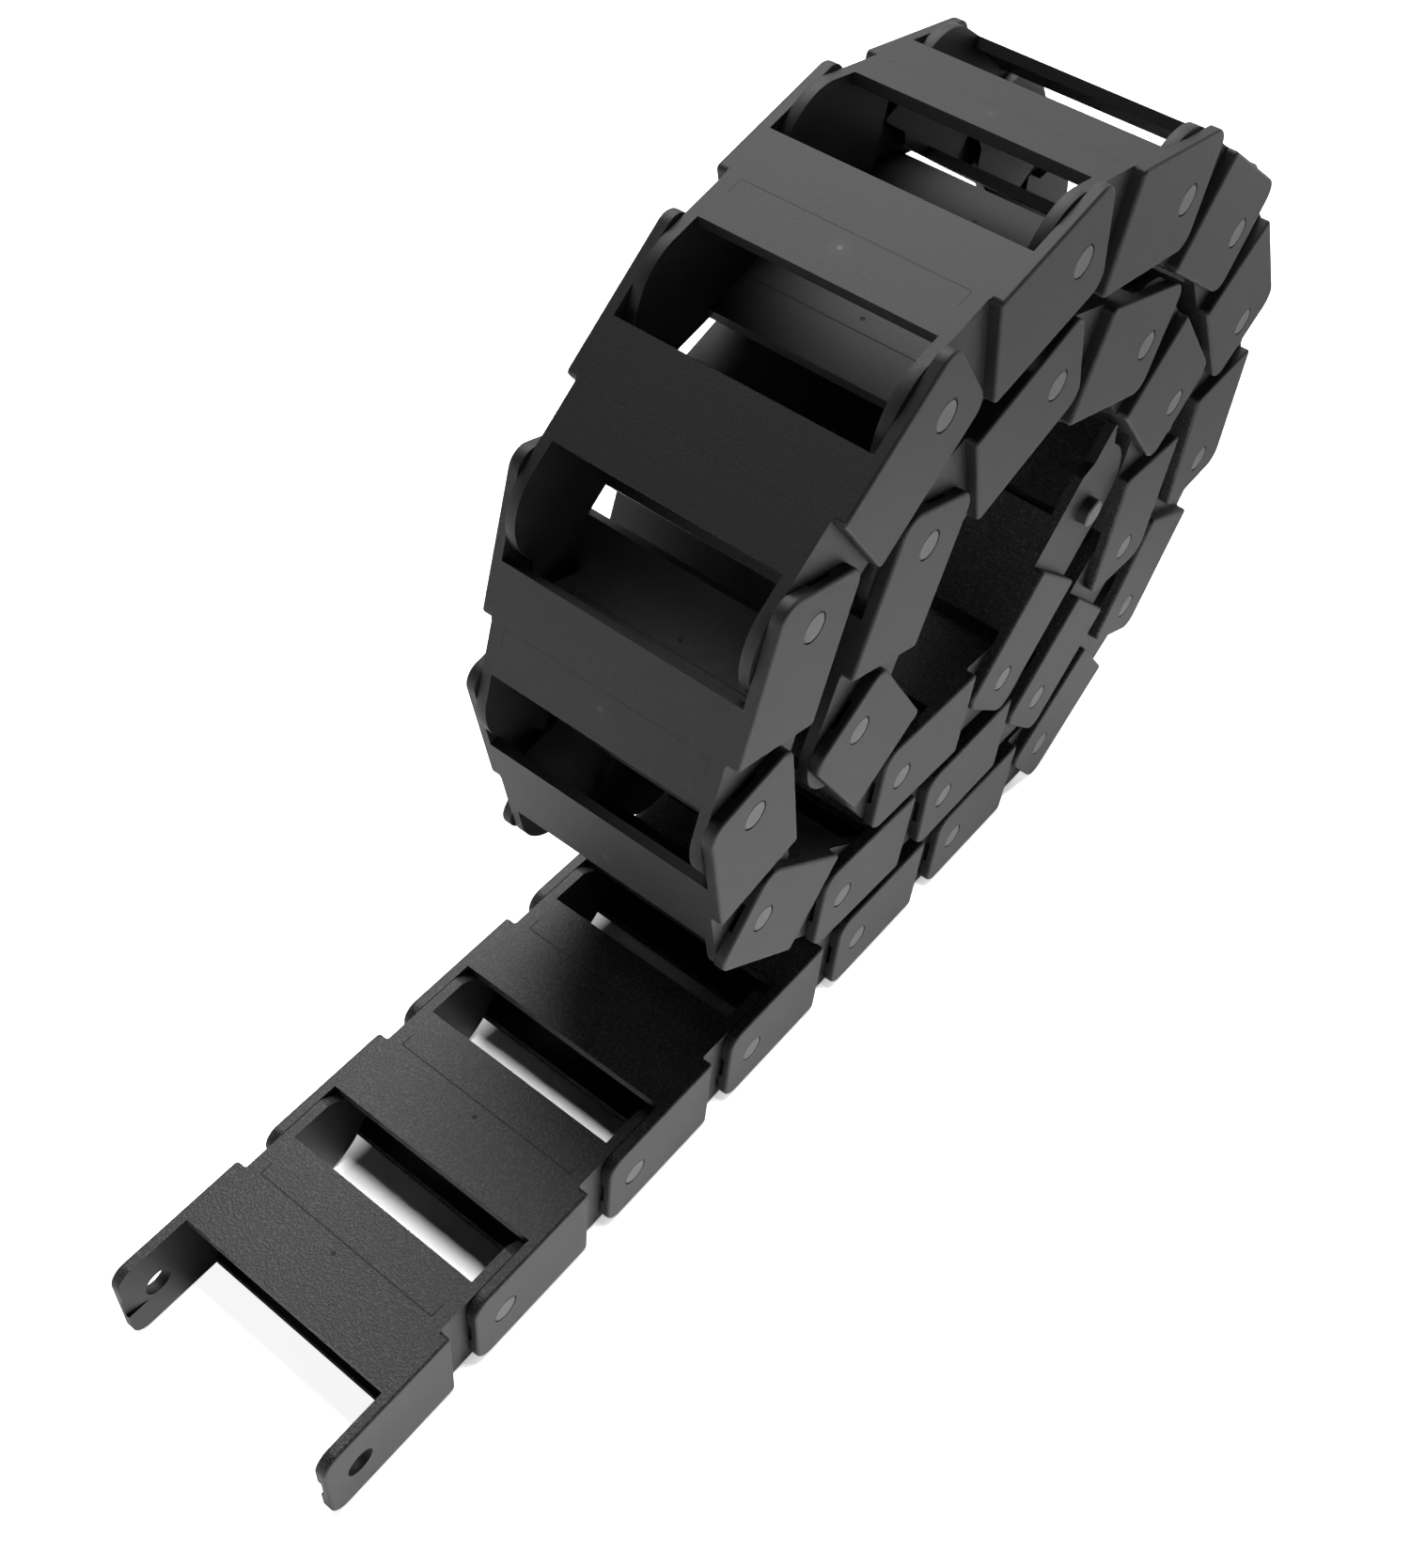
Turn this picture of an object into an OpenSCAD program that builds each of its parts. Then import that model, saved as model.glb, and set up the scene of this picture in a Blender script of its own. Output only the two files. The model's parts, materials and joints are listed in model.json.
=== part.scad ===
// Cable drag chain, partly wound up: a flat tail and a coil of about one and a half turns.
// Every link is one moulding: two side plates that step inwards behind the eye, two crossbars,
// and two pins that snap into the eyes of the next link.
//
// Link frame: the origin is the eye axis midway between the plates, +Y runs along the link to its
// pins, and +Z points to the inside of the bend. The chain frame is the frame of the first link.

/* [Chain] */
// Number of links
links = 28; // [8:1:28]
// Distance from the eye axis to the pin axis
pitch = 33; // [30:0.5:40]
// Radius of the pin axes when the chain is bent as far as its stops allow
bend_radius = 37; // [34:0.5:75]

/* [Cable channel] */
// Width between the inner ears
inner_w = 40; // [20:1:100]
// Height between the crossbars
inner_h = 15.9; // [14:0.1:18]

/* [Walls] */
// Thickness of both crossbars
bar_t = 1.8; // [1.2:0.1:3]
// Thickness of the outer plates
plate_t = 2; // [1.2:0.05:3.5]
// Thickness of the inner ears
ear_t = 1.85; // [1.2:0.05:3.5]

/* [Side plates] */
// Distance from the eye axis to the front edge
nose = 6.8; // [5:0.1:8]
// Radius of the two front corners
nose_corner = 3.2; // [0.5:0.1:4]
// Length of the step where a plate is two walls thick
step_len = 3.2; // [1.5:0.1:5]
// Radius of the two rear corners of the outer plates
rear_corner = 0.8; // [0.2:0.1:1.5]

/* [Crossbars] */
// Distance from the eye axis to the front edge of the upper crossbar
upper_front = 8; // [7:0.1:10]
// Distance from the eye axis to the front edge of the lower crossbar
lower_front = 10.7; // [9.5:0.1:12]
// Distance from the rear edges of both crossbars to the pin axis
bar_back = 3.3; // [2.5:0.1:6]

/* [Eyes and pins] */
// Diameter of the pins
pin_d = 5.1; // [3.5:0.1:6]
// Chamfer at the free end of each pin
pin_chamfer = 0.3; // [0.1:0.05:0.6]
// Radius of the heel below each pin
heel_r = 10.3; // [8:0.1:11]
// Share of the plate that the lead-in groove cuts away at the front edge
groove_share = 0.35; // [0.1:0.05:0.5]

/* [Clearances] */
// Radial clearance of a pin in its eye
pin_gap = 0.05; // [0.02:0.01:0.1]
// Gap between an inner ear and the outer plate around it
side_gap = 0.15; // [0.05:0.05:0.4]
// Gap left between a tooth and the crossbar that stops it
stop_gap = 0.2; // [0.05:0.05:0.4]
// Gap between a turning edge and the crossbar that it passes
bar_gap = 0.6; // [0.3:0.1:1]
// Gap between a turning edge and the plate or step that it passes
turn_gap = 0.8; // [0.4:0.1:1.5]

/* [Hidden] */
$fn = 64;
// Overlap of solids that are joined or cut
over = 0.01;
// Reach of a cut past the face that it opens
reach = 1;

link_h = inner_h + 2 * bar_t;
half_h = link_h / 2;
ear_in = inner_w / 2;
ear_out = ear_in + ear_t;
plate_in = ear_out + side_gap;
plate_out = plate_in + plate_t;
eye_r = pin_d / 2 + pin_gap;

// Height of the flat on which a crossbar stops, over the pin axis
stop_h = inner_h / 2 - stop_gap;
// Circles about a pin that its ear stays inside, set by the inner front edges of the next crossbars
crown_r = norm([upper_front, inner_h / 2]) - bar_gap;
toe = norm([lower_front, inner_h / 2]) - 2 * bar_gap;
// Circle about the eye that the front corners of a side plate stay inside
nose_r = norm([nose - nose_corner, half_h - nose_corner]) + nose_corner;
// The plates end where the nose of the next link turns past them
plate_rear = pitch - nose_r - 2 * turn_gap;
step_front = plate_rear - step_len;
// The tooth ends where it turns past the step of the next link
tooth_r = step_front - turn_gap;

// Bend at the eye of each link from the second on, as the chain lies wound up
wound = [0, 0, 0, 0, 0, 41, 24, 29, 31, 21, 25, 23, 24, 37, 27, 41, 34, 4, 47, 39, 46, 30, 36,
         52.9, 52.9, 52.9, 52.9];
// Link height over pitch up to which the turns of the coil clear each other
wound_height = 0.592;
// Bend at which the stops meet
max_bend = 2 * asin(pitch / 2 / bend_radius);
// The coil opens by this share when the stops allow less bend, or the links are too high for it
slack = max(0, 1 - max_bend / max(wound), 1.4 * (link_h / pitch / wound_height - 1));
// It opens most at its root, which ends with this link
root_end = 12;
root_slack = 2.5 * slack;

function bend(i) = wound[i - 2] * (1 - (i <= root_end ? root_slack : slack));
function heading(i) = i <= 1 ? 0 : heading(i - 1) + bend(i);
function eye_at(i) = i <= 1 ? [0, 0] : eye_at(i - 1) + pitch * [cos(heading(i - 1)), sin(heading(i - 1))];
function link_name(i) = str("link_", i < 10 ? "0" : "", i);

// Stands an outline drawn in (Y, Z) across the chain, from x = from to x = to
module across(from, to) {
    translate([from, 0, 0])
        rotate([90, 0, 90])
            linear_extrude(to - from)
                children();
}

// Draws its children on both sides of the chain
module both_sides() {
    children();
    mirror([1, 0, 0])
        children();
}

// Rectangle from y0 to y1 over the height of a link, with round corners at both ends
module plate_outline(y0, y1, front_r, rear_r) {
    difference() {
        translate([y0, -half_h])
            square([y1 - y0, link_h]);
        corner_cut([y0, -half_h], front_r, 0);
        corner_cut([y0, half_h], front_r, -90);
        corner_cut([y1, -half_h], rear_r, 90);
        corner_cut([y1, half_h], rear_r, 180);
    }
}

// What rounding takes off a square corner at a point; the corner opens towards turn + 45 degrees
module corner_cut(at, r, turn) {
    translate(at)
        rotate(turn)
            difference() {
                translate([-reach, -reach])
                    square(r + reach);
                translate([r, r])
                    circle(r);
            }
}

// Outline of an inner ear about its pin: crown above, tooth in front and heel below
module ear_outline() {
    // The flat that the lower crossbar of the next link meets at full bend, cut at the toe
    flat_low = (toe * sin(max_bend) - stop_h) / cos(max_bend);
    apex = [stop_h / tan(max_bend / 2), stop_h];
    heel = [toe - heel_r, heel_r - half_h];
    translate([step_front - pitch, -half_h])
        square([pitch - step_front + heel.x, link_h]);
    intersection() {
        circle(crown_r);
        square([crown_r, half_h]);
    }
    intersection() {
        circle(tooth_r);
        polygon([[0, heel.y], [toe, heel.y], [toe, flat_low], apex, [0, stop_h]]);
    }
    intersection() {
        translate(heel)
            circle(heel_r);
        translate([heel.x, -half_h])
            square([heel_r, heel_r]);
    }
}

// Side plate with its eye, groove and step
module outer_plate() {
    difference() {
        union() {
            across(plate_in, plate_out)
                plate_outline(-nose, plate_rear, nose_corner, rear_corner);
            across(ear_in, plate_in + over)
                translate([step_front, -half_h])
                    square([step_len, link_h]);
        }
        translate([plate_in - reach, 0, 0])
            rotate([0, 90, 0])
                cylinder(h = plate_t + 2 * reach, r = eye_r);
        lead_in();
    }
}

// Groove on the inner face that lets a pin slide in from the front edge up to the eye
module lead_in() {
    depth = groove_share * plate_t;
    slope = depth / (nose - eye_r);
    translate([plate_in, 0, -eye_r])
        linear_extrude(2 * eye_r)
            polygon([[-reach, -eye_r], [0, -eye_r], [depth + slope * reach, -nose - reach],
                     [-reach, -nose - reach]]);
}

// Inner ear with its pin, which ends flush with the outer plate of the next link
module inner_ear() {
    pin_len = plate_out - ear_in - over;
    across(ear_in, ear_out)
        translate([pitch, 0])
            ear_outline();
    translate([ear_in + over, pitch, 0])
        rotate([0, 90, 0]) {
            cylinder(h = pin_len - pin_chamfer, d = pin_d);
            translate([0, 0, pin_len - pin_chamfer])
                cylinder(h = pin_chamfer, d1 = pin_d, d2 = pin_d - 2 * pin_chamfer);
        }
}

// Crossbar whose lower face is at height z; it widens to the outer plates in front of the step
module crossbar(front, z) {
    translate([-plate_in - over, front, z])
        cube([2 * (plate_in + over), step_front + step_len / 2 - front, bar_t]);
    translate([-ear_in - over, front, z])
        cube([2 * (ear_in + over), pitch - bar_back - front, bar_t]);
}

// One moulded link in its own frame
module link() {
    both_sides() {
        outer_plate();
        inner_ear();
    }
    crossbar(upper_front, half_h - bar_t);
    crossbar(lower_front, -half_h);
}

// Link number i where it lies in the chain
module placed_link(i) {
    eye = eye_at(i);
    color("dimgray")
        translate([0, eye.x, eye.y])
            rotate([heading(i), 0, 0])
                link();
}

for (i = [1:links])
    placed_link(i);
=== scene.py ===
"""Dresses the cable drag chain: its moulded links, the table it stands on, the lights and the camera.

Lengths are in metres. The frame is the chain's own: the origin is the middle of the eye axis at the
free end of the tail, +X runs along the pins, +Y along the tail towards the coil, and +Z is up.
A link's own frame has its origin on its eye axis, +Y towards its pins and +Z to the inside of the bend.
"""

from __future__ import annotations

import functools
import json
import logging
import math
from dataclasses import dataclass
from enum import Enum

import bmesh
import bpy
from mathutils import Matrix, Vector

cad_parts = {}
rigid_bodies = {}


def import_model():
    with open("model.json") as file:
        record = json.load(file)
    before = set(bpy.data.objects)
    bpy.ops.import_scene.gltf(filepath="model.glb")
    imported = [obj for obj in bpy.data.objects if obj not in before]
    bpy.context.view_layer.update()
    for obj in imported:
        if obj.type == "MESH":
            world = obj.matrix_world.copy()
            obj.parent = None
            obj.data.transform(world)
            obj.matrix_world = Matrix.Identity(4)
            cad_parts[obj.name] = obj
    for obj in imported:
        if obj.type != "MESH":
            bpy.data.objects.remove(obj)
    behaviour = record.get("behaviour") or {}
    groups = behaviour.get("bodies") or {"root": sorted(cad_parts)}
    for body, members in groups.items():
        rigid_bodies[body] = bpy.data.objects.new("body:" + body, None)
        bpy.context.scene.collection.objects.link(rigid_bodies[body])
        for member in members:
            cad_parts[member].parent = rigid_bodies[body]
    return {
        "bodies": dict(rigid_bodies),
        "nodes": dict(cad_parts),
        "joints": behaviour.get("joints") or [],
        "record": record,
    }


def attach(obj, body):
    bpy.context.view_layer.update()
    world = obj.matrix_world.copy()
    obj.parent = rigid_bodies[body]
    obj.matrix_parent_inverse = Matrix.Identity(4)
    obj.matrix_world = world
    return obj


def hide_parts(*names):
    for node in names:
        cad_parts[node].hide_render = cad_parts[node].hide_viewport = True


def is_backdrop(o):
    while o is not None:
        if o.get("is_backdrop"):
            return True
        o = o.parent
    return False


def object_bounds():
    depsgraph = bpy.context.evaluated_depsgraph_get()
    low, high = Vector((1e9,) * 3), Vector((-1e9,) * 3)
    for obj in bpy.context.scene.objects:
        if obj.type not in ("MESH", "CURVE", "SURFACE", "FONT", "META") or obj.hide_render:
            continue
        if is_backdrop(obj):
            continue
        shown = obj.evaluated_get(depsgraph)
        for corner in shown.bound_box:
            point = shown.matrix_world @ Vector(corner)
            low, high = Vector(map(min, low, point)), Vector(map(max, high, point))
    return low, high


LOG = logging.getLogger("drag_chain")
MM = 0.001
LINK_COORDS = "link_coords"
TABLE_GAP = 0.05 * MM


class Zone(Enum):
    """How the mould was finished where a face lies; the value is the material's index."""

    GRAINED = 0
    SATIN = 1
    PIN_END = 2
    SMOOTH = 3


@dataclass(frozen=True)
class LinkPlace:
    """Where one link lies in the chain.

    Attributes:
        name: The link's name, which is also its body's.
        eye: Middle of its eye axis.
        pins: Middle of its pin axis.
    """

    name: str
    eye: Vector
    pins: Vector

    def matrix(self) -> Matrix:
        """Turns the link's own frame into the chain's."""
        along = self.pins - self.eye
        turn = math.atan2(along.z, along.y)
        return Matrix.Translation(self.eye) @ Matrix.Rotation(turn, 4, "X")


class ChainLayout:
    """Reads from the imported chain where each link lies."""

    def __init__(self, frame: dict) -> None:
        """Keeps the frame.
        """
        self.frame = frame

    def places(self) -> list[LinkPlace]:
        """Works out every link's place from the pivots and the pins at the end of the coil.

        Returns:
            One place per link, from the free end of the tail on.
        """
        axes = [Vector((0, 0, 0))]
        pivots = {joint["name"]: Vector(joint["pos_m"]) for joint in self.frame["joints"]}
        axes += [pivots[name] for name in sorted(pivots)]
        mounts = {mount["name"]: Vector(mount["pos_m"]) for mount in self.frame["record"]["mounts"]}
        axes.append((mounts["end_pin_right"] + mounts["end_pin_left"]) / 2)
        names = sorted(self.frame["nodes"])
        return [LinkPlace(name, eye, pins) for name, eye, pins in zip(names, axes, axes[1:])]


@dataclass
class LinkMoulding:
    """The moulded link: shell with soft edges, and what the mould left on it.

    Attributes:
        pitch: From the eye axis to the pin axis.
        pin_radius: Radius of a pin.
        soft_edge: Radius of most edges.
        rim_edge: Radius of the outer rims of the side plates.
        sharp_turn: Angle in degrees from which an edge between two faces is softened.
        flat_turn: Angle in degrees under which neighbouring faces count as one flat.
        flat_width: Width from which a face is shaded flat.
        square: Part of its normal along an axis from which a face is shaded flat.
        grained_depth: How far the grain reaches down from the side that is inside the bend.
    """

    pitch: float
    pin_radius: float = 2.55 * MM
    soft_edge: float = 0.18 * MM
    rim_edge: float = 0.5 * MM
    sharp_turn: float = 24.0
    flat_turn: float = 0.6
    flat_width: float = 1.6 * MM
    square: float = 0.9999
    grained_depth: float = 0.8 * MM

    def master(self, node: bpy.types.Object) -> bmesh.types.BMesh:
        """Builds the link in its own frame.

        Args:
            node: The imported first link, whose frame is the chain's.

        Returns:
            The finished mesh, ready to be copied to each place.
        """
        shell = bmesh.new()
        shell.from_mesh(node.data)
        bmesh.ops.remove_doubles(shell, verts=shell.verts, dist=0.002 * MM)
        bmesh.ops.dissolve_limit(
            shell,
            angle_limit=math.radians(self.flat_turn),
            verts=shell.verts,
            edges=shell.edges,
        )
        bmesh.ops.recalc_face_normals(shell, faces=shell.faces)
        self.soften(shell, self.rims(shell), self.rim_edge, 4)
        self.soften(shell, self.sharp_edges(shell), self.soft_edge, 2)
        half_width = self.half_width(shell)
        inside = max(vert.co.z for vert in shell.verts)
        for face in shell.faces:
            face.material_index = self.zone(face, half_width, inside).value
            longest = max(edge.calc_length() for edge in face.edges)
            square = max(abs(part) for part in face.normal) > self.square
            face.smooth = not square and face.calc_area() < self.flat_width * longest
        coords = shell.verts.layers.float_vector.new(LINK_COORDS)
        for vert in shell.verts:
            vert[coords] = vert.co
        return shell

    def half_width(self, shell: bmesh.types.BMesh) -> float:
        """Measures how far the link reaches from its middle to the outer face of a side plate."""
        return max(vert.co.x for vert in shell.verts)

    def from_axes(self, point: Vector) -> float:
        """Measures how far a point lies from the nearer of the eye axis and the pin axis."""
        return min(math.hypot(point.y, point.z), math.hypot(point.y - self.pitch, point.z))

    def zone(self, face: bmesh.types.BMFace, half_width: float, inside: float) -> Zone:
        """Tells how the mould was finished at a face.

        Args:
            face: A face of the finished link.
            half_width: What half_width() measured.
            inside: Height of the side that is inside the bend.

        Returns:
            The pins' ends, the satin sides, the grain inside the bend, or the smooth rest.
        """
        middle = face.calc_center_median()
        if half_width - abs(middle.x) < 2 * self.soft_edge and (
            math.hypot(middle.y - self.pitch, middle.z) < self.pin_radius
        ):
            return Zone.PIN_END
        if abs(face.normal.x) > 0.8:
            return Zone.SATIN
        return Zone.GRAINED if inside - middle.z < self.grained_depth else Zone.SMOOTH

    def sharp_edges(self, shell: bmesh.types.BMesh) -> list[bmesh.types.BMEdge]:
        """Finds the edges that are still sharp.

        Args:
            shell: The link so far.

        Returns:
            Every edge between two faces that meet at more than sharp_turn.
        """
        limit = math.radians(self.sharp_turn)
        return [e for e in shell.edges if e.is_manifold and e.calc_face_angle() > limit]

    def rims(self, shell: bmesh.types.BMesh) -> list[bmesh.types.BMEdge]:
        """Finds the outer rims of both side plates, without the eyes.

        Args:
            shell: The link before any edge is softened.

        Returns:
            The sharp edges that lie in the outer faces and away from the eyes and pins.
        """
        half_width = self.half_width(shell)
        return [
            edge
            for edge in self.sharp_edges(shell)
            if all(
                half_width - abs(vert.co.x) < 0.01 * MM and self.from_axes(vert.co) > 1.3 * self.pin_radius
                for vert in edge.verts
            )
        ]

    def soften(
        self,
        shell: bmesh.types.BMesh,
        edges: list[bmesh.types.BMEdge],
        radius: float,
        steps: int,
    ) -> None:
        """Rounds edges.

        Args:
            shell: The link so far.
            edges: The edges to round.
            radius: How far the round reaches from each edge.
            steps: Number of faces across the round.
        """
        bmesh.ops.bevel(
            shell,
            geom=edges,
            offset=radius,
            offset_type="OFFSET",
            affect="EDGES",
            segments=steps,
            profile=0.5,
            material=-1,
            clamp_overlap=True,
        )

    def place(self, master: bmesh.types.BMesh, place: LinkPlace) -> bpy.types.Object:
        """Copies the link to its place.

        Args:
            master: The finished mesh in the link's own frame.
            place: Where the link lies.

        Returns:
            The link's piece, at the origin with its place in its mesh.
        """
        copy = master.copy()
        bmesh.ops.transform(copy, matrix=place.matrix(), verts=copy.verts)
        mesh = bpy.data.meshes.new(f"{place.name}_moulding")
        copy.to_mesh(mesh)
        copy.free()
        piece = bpy.data.objects.new(f"{place.name}_moulding", mesh)
        bpy.context.scene.collection.objects.link(piece)
        return piece


class Graph:
    """Short ways to put together a shader's node tree."""

    def __init__(self, owner: bpy.types.Material | bpy.types.World) -> None:
        """Starts on a node tree.

        Args:
            owner: The material or world, which gets nodes here.
        """
        owner.use_nodes = True
        self.nodes = owner.node_tree.nodes
        self.links = owner.node_tree.links

    def add(self, kind: str, **inputs: object) -> bpy.types.Node:
        """Adds a node.

        Args:
            kind: The node's type.
            **inputs: Values or sockets for its inputs, with _ for a space in a name.

        Returns:
            The node.
        """
        node = self.nodes.new(kind)
        for name, value in inputs.items():
            self.feed(node.inputs[name.replace("_", " ")], value)
        return node

    def maths(self, operation: str, *values: object) -> bpy.types.NodeSocket:
        """Adds a maths node.

        Args:
            operation: What it works out.
            *values: Numbers or sockets for its inputs.

        Returns:
            Its result.
        """
        node = self.nodes.new("ShaderNodeMath")
        node.operation = operation
        for socket, value in zip(node.inputs, values):
            self.feed(socket, value)
        return node.outputs["Value"]

    def feed(self, socket: bpy.types.NodeSocket, value: object) -> None:
        """Sets an input to a value, or links it to an output."""
        if isinstance(value, bpy.types.NodeSocket):
            self.links.new(value, socket)
        else:
            socket.default_value = value

    def near(self, value: object, target: float, reach: float) -> bpy.types.NodeSocket:
        """Gives 1 where a value lies within reach of a target, and 0 elsewhere."""
        return self.maths("COMPARE", value, target, reach)

    def fade(self, value: object, start: float, end: float) -> bpy.types.NodeSocket:
        """Gives 0 up to a start, and rises evenly to 1 at an end, which may be the smaller."""
        return self.add("ShaderNodeMapRange", Value=value, From_Min=start, From_Max=end).outputs["Result"]

    def total(self, *values: object) -> bpy.types.NodeSocket:
        """Adds values up."""
        return functools.reduce(functools.partial(self.maths, "ADD"), values)

    def product(self, *values: object) -> bpy.types.NodeSocket:
        """Multiplies values."""
        return functools.reduce(functools.partial(self.maths, "MULTIPLY"), values)

    def mirror_rays(self, rays: bpy.types.Node) -> bpy.types.NodeSocket:
        """Gives 1 for what is seen in a mirror or through glass, from a Light Path node."""
        return self.maths("MAXIMUM", rays.outputs["Is Glossy Ray"], rays.outputs["Is Transmission Ray"])


@dataclass(frozen=True)
class MouldMarks:
    """What the mould left on one face of the crossbars.

    Attributes:
        line: Where the parting line crosses the bar, along the link.
        line_shade: How much lighter or darker the line is.
        gate: Where the gate was, along the link.
        gate_shade: How much lighter or darker the gate mark is.
        halo_shade: How much lighter the plastic around the gate is.
        jog: Where the parting line turns beside the side plates, across the link.
        jog_end: How far along the link it then runs.
        line_reach: Half the width of the line.
        gate_radius: Radius of the gate mark.
        halo_radius: Radius of the plastic around it that looks different.
    """

    line: float
    line_shade: float
    gate: float
    gate_shade: float
    halo_shade: float = 0.0
    jog: float = 19.2 * MM
    jog_end: float = 24 * MM
    line_reach: float = 0.11 * MM
    gate_radius: float = 0.42 * MM
    halo_radius: float = 2.2 * MM

    def build(self, graph: Graph, coords: bpy.types.Node) -> bpy.types.NodeSocket:
        """Adds the marks to a material.

        Args:
            graph: The material's tree.
            coords: The separated coordinates in the link's own frame.

        Returns:
            How much lighter or darker the plastic is at a point.
        """
        across = graph.maths("ABSOLUTE", coords.outputs["X"])
        along = coords.outputs["Y"]
        straight = graph.product(
            graph.near(along, self.line, self.line_reach),
            graph.maths("LESS_THAN", across, self.jog),
        )
        middle = (self.line + self.jog_end) / 2
        turned = graph.product(
            graph.near(across, self.jog, self.line_reach),
            graph.near(along, middle, abs(self.line - middle)),
        )
        off = graph.maths("SUBTRACT", along, self.gate)
        squares = graph.total(graph.product(across, across), graph.product(off, off))
        distance = graph.maths("SQRT", squares)
        return graph.total(
            graph.product(graph.maths("MAXIMUM", straight, turned), self.line_shade),
            graph.product(graph.maths("LESS_THAN", distance, self.gate_radius), self.gate_shade),
            graph.product(graph.fade(distance, self.halo_radius, self.gate_radius), self.halo_shade),
        )


@dataclass(frozen=True)
class NylonFinish:
    """Black glass-fibre nylon as it comes out of the mould.

    Attributes:
        name: The material's name.
        colour: Base colour, linear.
        speckle: How much lighter the grains are at their tops.
        roughness: Roughness of the plastic.
        relief: Depth of the grain.
        marks: What the mould left on the inside and the outside of the bend.
        grain_scale: Grains in a metre.
        grain_tops: Heights of the grain between which it gets lighter.
        cloud_scale: Clouds in a metre.
        cloud_shade: How much lighter or darker the clouds are.
        matt_marks: How much rougher the plastic is where a mark is lighter.
        mark_depth: How far a mark stands out where it is lighter.
    """

    name: str
    colour: tuple[float, float, float]
    speckle: float
    roughness: float
    relief: float
    marks: tuple[MouldMarks, ...] = ()
    grain_scale: float = 2700.0
    grain_tops: tuple[float, float] = (0.5, 0.7)
    cloud_scale: float = 90.0
    cloud_shade: float = 0.35
    matt_marks: float = -0.06
    mark_depth: float = 0.02 * MM

    def build(self) -> bpy.types.Material:
        """Builds the node material.

        Returns:
            The material.
        """
        material = bpy.data.materials.new(self.name)
        graph = Graph(material)
        spot = graph.add("ShaderNodeTexCoord").outputs["Object"]
        grain, cloud = (
            graph.add("ShaderNodeTexNoise", Vector=spot, Scale=scale, Detail=2.0).outputs["Fac"]
            for scale in (self.grain_scale, self.cloud_scale)
        )
        tops = graph.product(graph.fade(grain, *self.grain_tops), self.speckle)
        clouds = graph.product(graph.maths("SUBTRACT", cloud, 0.5), self.cloud_shade)
        marks = self.mark_shades(graph)
        shade = graph.total(1.0, tops, clouds, *marks)
        tint = graph.add("ShaderNodeVectorMath")
        tint.operation = "SCALE"
        tint.inputs[0].default_value = self.colour
        graph.feed(tint.inputs["Scale"], graph.maths("MAXIMUM", shade, 0.0))
        height = graph.product(grain, self.relief)
        if marks:
            height = graph.maths("MULTIPLY_ADD", graph.total(*marks), self.mark_depth, height)
        bump = graph.add("ShaderNodeBump", Strength=1.0, Distance=1.0, Height=height)
        shader = graph.nodes["Principled BSDF"]
        graph.feed(shader.inputs["Base Color"], tint.outputs["Vector"])
        graph.feed(shader.inputs["Normal"], bump.outputs["Normal"])
        shader.inputs["Roughness"].default_value = self.roughness
        if marks:
            matt = graph.maths("MULTIPLY_ADD", graph.total(*marks), self.matt_marks, self.roughness)
            graph.feed(shader.inputs["Roughness"], matt)
        return material

    def mark_shades(self, graph: Graph) -> list[bpy.types.NodeSocket]:
        """Adds the mould's marks, the first on the inside of the bend and the second on the outside.

        Args:
            graph: The material's tree.

        Returns:
            How much each set of marks changes the shade.
        """
        if not self.marks:
            return []
        own = graph.add("ShaderNodeAttribute")
        own.attribute_name = LINK_COORDS
        coords = graph.add("ShaderNodeSeparateXYZ", Vector=own.outputs["Vector"])
        inside = graph.maths("GREATER_THAN", coords.outputs["Z"], 0.0)
        outside = graph.maths("SUBTRACT", 1.0, inside)
        return [
            graph.product(marks.build(graph, coords), side)
            for marks, side in zip(self.marks, (inside, outside))
        ]


@dataclass(frozen=True)
class Lamp:
    """A square soft lamp.

    Attributes:
        name: The lamp's name.
        place: Where it stands.
        side: Its side.
        power: Its power in watts.
    """

    name: str
    place: tuple[float, float, float]
    side: float
    power: float

    def build(self, target: tuple[float, float, float]) -> bpy.types.Object:
        """Adds the lamp.

        Args:
            target: The point that it faces.

        Returns:
            The lamp.
        """
        light = bpy.data.lights.new(self.name, "AREA")
        light.size = self.side
        light.energy = self.power
        lamp = bpy.data.objects.new(self.name, light)
        lamp.location = self.place
        towards = Vector(target) - Vector(self.place)
        lamp.rotation_euler = towards.to_track_quat("-Z", "Y").to_euler()
        bpy.context.scene.collection.objects.link(lamp)
        return lamp


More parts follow.
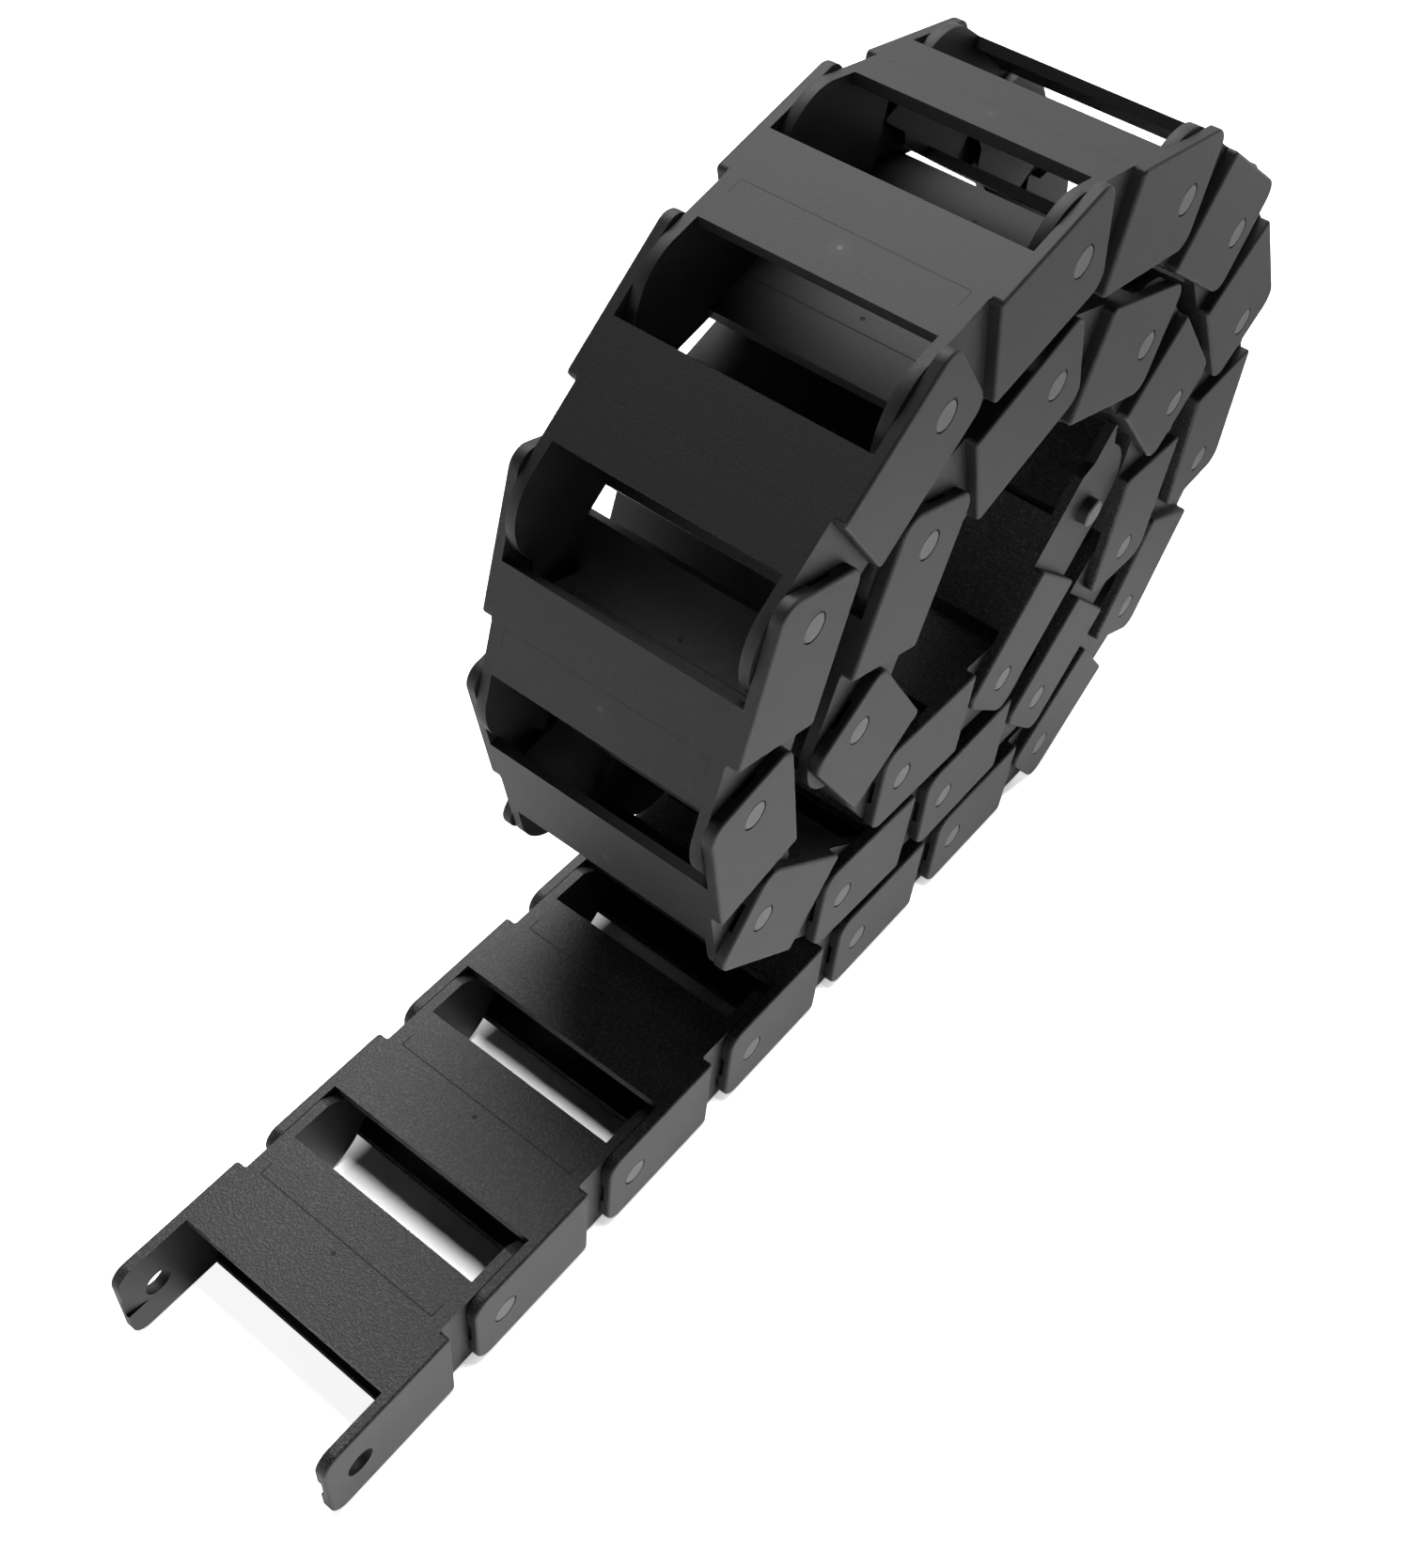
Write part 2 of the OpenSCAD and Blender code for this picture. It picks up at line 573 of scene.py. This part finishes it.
@dataclass
class Studio:
    """White table, dim surroundings and soft lamps.

    Attributes:
        floor_level: Height of the table top.
        table_size: Side of the table.
        table_white: Colour of the table, linear.
        middle: Middle of the chain, which the lamps face.
        open_table: How far from the middle the table starts to be white by itself, and is fully so.
        mirrored: Where along the chain the table's reflection starts to dim and where it stops; this
            dimming is painted falloff of light, in reflections only.
        mirrored_left: What is left of it there.
        tail: Half the width of the table under the tail, and where along the chain it starts and ends.
        soft: Over how much of that the table changes.
        beside: How white the table is by itself beside the tail.
        ambient: Strength of the light from all round.
        backdrop: Sine of the height at which the mirrored backdrop is fully dimmed, and starts to be.
        chain_lamps: The lamps for the chain.
        table_lamp: The lamp for the table alone, straight above it.
    """

    floor_level: float
    table_size: float = 6.0
    table_white: float = 0.82
    middle: tuple[float, float, float] = (0.0, 0.12, 0.05)
    open_table: tuple[float, float] = (0.3, 0.6)
    mirrored: tuple[float, float] = (0.08, 0.32)
    mirrored_left: float = 0.35
    tail: tuple[float, float, float] = (25 * MM, 10.9 * MM, 205 * MM)
    soft: float = 7 * MM
    beside: float = 0.9
    ambient: float = 0.02
    backdrop: tuple[float, float] = (0.4, 0.15)
    chain_lamps: tuple[Lamp, ...] = (
        Lamp("ceiling", place=(-0.47, 0.69, 1.13), side=0.9, power=21.0),
        Lamp("side", place=(1.0, -0.2, 0.8), side=0.6, power=0.5),
    )
    table_lamp: Lamp = Lamp("table_lamp", place=(0.06, 0.13, 0.6), side=0.12, power=5.6)

    def build(self) -> None:
        """Sets up the table, the world and the lamps."""
        top = self.table()
        self.world()
        for lamp in self.chain_lamps:
            lamp.build(self.middle)
        x, y, _ = self.table_lamp.place
        lamp = self.table_lamp.build((x, y, self.floor_level))
        table_only = bpy.data.collections.new("table_only")
        table_only.objects.link(top)
        lamp.light_linking.receiver_collection = table_only

    def table(self) -> bpy.types.Object:
        """Makes the table top, white to the camera, with the chain's shadow on it.

        Returns:
            The table top.
        """
        shape = bmesh.new()
        bmesh.ops.create_grid(shape, x_segments=1, y_segments=1, size=self.table_size / 2)
        bmesh.ops.translate(shape, verts=shape.verts, vec=(0, 0, self.floor_level))
        mesh = bpy.data.meshes.new("table_top")
        shape.to_mesh(mesh)
        shape.free()
        top = bpy.data.objects.new("table_top", mesh)
        bpy.context.scene.collection.objects.link(top)
        mesh.materials.append(self.table_paint())
        top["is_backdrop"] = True
        return top

    def table_paint(self) -> bpy.types.Material:
        """Builds the table's material.

        Returns:
            White that the lamps light, and that is white by itself away from the chain.
        """
        material = bpy.data.materials.new("table_white")
        graph = Graph(material)
        graph.nodes.remove(graph.nodes["Principled BSDF"])
        spot = graph.add("ShaderNodeTexCoord").outputs["Object"]
        rays = graph.add("ShaderNodeLightPath")
        white = self.table_brightness(graph, spot, rays)
        colour = graph.add("ShaderNodeCombineXYZ", X=white, Y=white, Z=white).outputs["Vector"]
        paint = graph.add("ShaderNodeBsdfDiffuse", Color=colour)
        glow = graph.add("ShaderNodeEmission", Strength=self.table_glow(graph, spot, rays))
        both = graph.add("ShaderNodeAddShader")
        graph.feed(both.inputs[0], paint.outputs["BSDF"])
        graph.feed(both.inputs[1], glow.outputs["Emission"])
        graph.feed(graph.nodes["Material Output"].inputs["Surface"], both.outputs["Shader"])
        return material

    def table_brightness(
        self, graph: Graph, spot: bpy.types.NodeSocket, rays: bpy.types.Node
    ) -> bpy.types.NodeSocket:
        """Adds how bright the table's paint is; in reflections it is painted darker farther along the
        chain as painted falloff of light, so the coil's plates mirror a dimmer table than the tail's.

        Args:
            graph: The table's tree.
            spot: Where a point of the table is.
            rays: A Light Path node.

        Returns:
            The paint's brightness.
        """
        along = graph.add("ShaderNodeSeparateXYZ", Vector=spot).outputs["Y"]
        # Painted falloff of light: in reflections only, the table's paint darkens along the chain.
        painted_falloff = graph.product(graph.fade(along, *self.mirrored), 1 - self.mirrored_left)
        left = graph.maths("SUBTRACT", 1.0, graph.product(rays.outputs["Is Glossy Ray"], painted_falloff))
        return graph.product(left, self.table_white)

    def table_glow(
        self, graph: Graph, spot: bpy.types.NodeSocket, rays: bpy.types.Node
    ) -> bpy.types.NodeSocket:
        """Adds how white the table is by itself: all of it but the space under the tail.

        Args:
            graph: The table's tree.
            spot: Where a point of the table is.
            rays: A Light Path node.

        Returns:
            The glow's strength.
        """
        distance = graph.add("ShaderNodeVectorMath")
        distance.operation = "DISTANCE"
        graph.feed(distance.inputs[0], spot)
        distance.inputs[1].default_value = (self.middle[0], self.middle[1], 0)
        away = graph.fade(distance.outputs["Value"], *self.open_table)
        place = graph.add("ShaderNodeSeparateXYZ", Vector=spot)
        half_width, start, end = self.tail
        under = graph.product(
            graph.fade(graph.maths("ABSOLUTE", place.outputs["X"]), half_width, half_width - self.soft),
            graph.fade(place.outputs["Y"], start, start + 2 * self.soft),
            graph.fade(place.outputs["Y"], end, end - 2 * self.soft),
        )
        beside = graph.product(graph.maths("SUBTRACT", 1.0, under), self.beside)
        seen = graph.product(rays.outputs["Is Camera Ray"], graph.maths("MAXIMUM", away, beside))
        return graph.maths("MAXIMUM", seen, graph.product(graph.mirror_rays(rays), away))

    def world(self) -> None:
        """Lights the chain a little from all round, and shows white behind it."""
        world = bpy.data.worlds.new("studio_white")
        bpy.context.scene.world = world
        graph = Graph(world)
        rays = graph.add("ShaderNodeLightPath")
        direction = graph.add("ShaderNodeTexCoord").outputs["Generated"]
        height = graph.add("ShaderNodeSeparateXYZ", Vector=direction).outputs["Z"]
        mirrored = graph.product(graph.mirror_rays(rays), graph.fade(height, *self.backdrop))
        seen = graph.maths("MAXIMUM", rays.outputs["Is Camera Ray"], mirrored)
        background = graph.nodes["Background"]
        graph.feed(background.inputs["Strength"], graph.maths("MAXIMUM", seen, self.ambient))
        background.inputs["Color"].default_value = (1, 1, 1, 1)


@dataclass(frozen=True)
class Viewpoint:
    """The camera, held high over the free end of the tail.

    Attributes:
        place: Where the lens is.
        right: Direction of the picture's right side.
        look: Direction in which it looks.
        lens: Focal length in millimetres.
        shift: Sideways and upward shift of the lens.
        reach: Nearest and farthest distance that it sees.
    """

    place: tuple[float, float, float] = (113.41 * MM, -58.28 * MM, 279.61 * MM)
    right: tuple[float, float, float] = (0.77359, 0.63192, 0.04718)
    look: tuple[float, float, float] = (-0.36535, 0.50561, -0.78158)
    lens: float = 41.99
    shift: tuple[float, float] = (0.0304, 0.0444)
    reach: tuple[float, float] = (0.01, 20.0)

    def build(self) -> bpy.types.Object:
        """Makes the scene's camera.

        Returns:
            The camera.
        """
        data = bpy.data.cameras.new("viewpoint")
        data.lens = self.lens
        data.shift_x, data.shift_y = self.shift
        data.clip_start, data.clip_end = self.reach
        camera = bpy.data.objects.new("viewpoint", data)
        back = -Vector(self.look).normalized()
        right = Vector(self.right).normalized()
        up = back.cross(right).normalized()
        right = up.cross(back)
        turn = Matrix((right, up, back)).transposed().to_4x4()
        camera.matrix_world = Matrix.Translation(self.place) @ turn
        bpy.context.scene.collection.objects.link(camera)
        bpy.context.scene.camera = camera
        return camera


BAR_MARKS = (
    MouldMarks(line=21.4 * MM, line_shade=-2.6, gate=19.0 * MM, gate_shade=-2.6),
    MouldMarks(line=20.9 * MM, line_shade=-0.8, gate=24.0 * MM, gate_shade=1.6, halo_shade=0.4),
)
GRAINED_NYLON = NylonFinish(
    name="grained_nylon",
    colour=(0.012, 0.0122, 0.0126),
    speckle=4.5,
    roughness=0.52,
    relief=0.12 * MM,
    marks=BAR_MARKS,
)
SATIN_NYLON = NylonFinish(
    name="satin_nylon",
    colour=(0.014, 0.0142, 0.0147),
    speckle=0.6,
    roughness=0.5,
    relief=0.02 * MM,
)
PIN_NYLON = NylonFinish(
    name="pin_end_nylon",
    colour=(0.12, 0.12, 0.122),
    speckle=0.2,
    roughness=0.45,
    relief=0.01 * MM,
)
# Darker base colour than the other zones: partly painted shade, darkening the links' hollows, undersides
# and insides; the smooth finish itself is real.
SMOOTH_SHADED_NYLON = NylonFinish(
    name="smooth_nylon",
    colour=(0.0065, 0.0066, 0.0069),
    speckle=0.8,
    roughness=0.62,
    relief=0.025 * MM,
    marks=BAR_MARKS,
)


def main() -> None:
    """Builds the dressed chain, piece by piece."""
    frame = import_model()
    packed_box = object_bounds()
    bpy.context.scene.view_settings.view_transform = "Standard"
    Viewpoint().build()
    places = ChainLayout(frame).places()
    moulding = LinkMoulding(pitch=(places[0].pins - places[0].eye).length)
    master = moulding.master(frame["nodes"][places[0].name])
    finishes = [finish.build() for finish in (GRAINED_NYLON, SATIN_NYLON, PIN_NYLON, SMOOTH_SHADED_NYLON)]
    for place in places:
        piece = moulding.place(master, place)
        for finish in finishes:
            piece.data.materials.append(finish)
        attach(piece, place.name)
        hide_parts(place.name)
        LOG.info("%s: %d faces", piece.name, len(piece.data.polygons))
    master.free()
    Studio(floor_level=packed_box[0][2] - TABLE_GAP).build()


if __name__ == "__main__":
    logging.basicConfig(level=logging.INFO, format="%(message)s")
    main()
